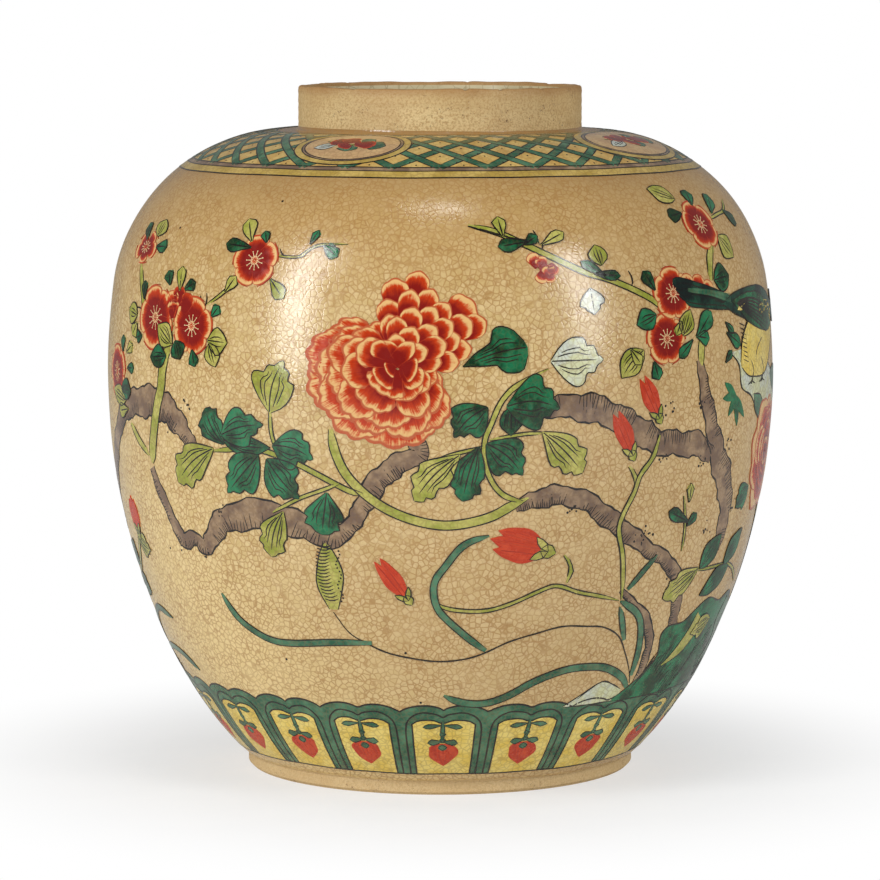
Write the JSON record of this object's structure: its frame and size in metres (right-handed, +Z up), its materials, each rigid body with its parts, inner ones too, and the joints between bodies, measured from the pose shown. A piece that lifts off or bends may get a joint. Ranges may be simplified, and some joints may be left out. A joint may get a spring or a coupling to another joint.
{
  "type": "ginger jar",
  "caption": "Round stoneware ginger jar without a cover: bulbous crackle-glazed body with painted enamels, short bare collar over a wide mouth, and a turned foot ring.",
  "frame": {"origin": "centre of the circle on which the foot ring rests", "axes": "+Z up along the axis the jar was turned on; the peony spray faces -Y, and +X is to its right"},
  "size_m": [0.225, 0.225, 0.2302],
  "materials": {
    "stoneware": "fired, unglazed, slightly rough",
    "bare_collar": "dry biscuit, brown iron specks",
    "slip": "fired slip, matte",
    "crackle_glaze": "gloss, stained crackle",
    "inner_glaze": "gloss, greyish cream",
    "green_enamel": "translucent gloss enamel",
    "lime_enamel": "translucent gloss enamel",
    "iron_red_enamel": "thin satin enamel",
    "yellow_enamel": "translucent gloss enamel",
    "aubergine_enamel": "translucent gloss enamel",
    "black_line": "thin drawn line under the enamel"
  },
  "bodies": {
    "root": {"lower_body": "stoneware", "upper_body": "stoneware", "neck_collar": "bare_collar", "seam_slip": "slip", "collar_slip": "slip", "outer_glaze": "crackle_glaze", "inner_glaze": "inner_glaze", "base_glaze": "inner_glaze"}
  },
  "joints": []
}
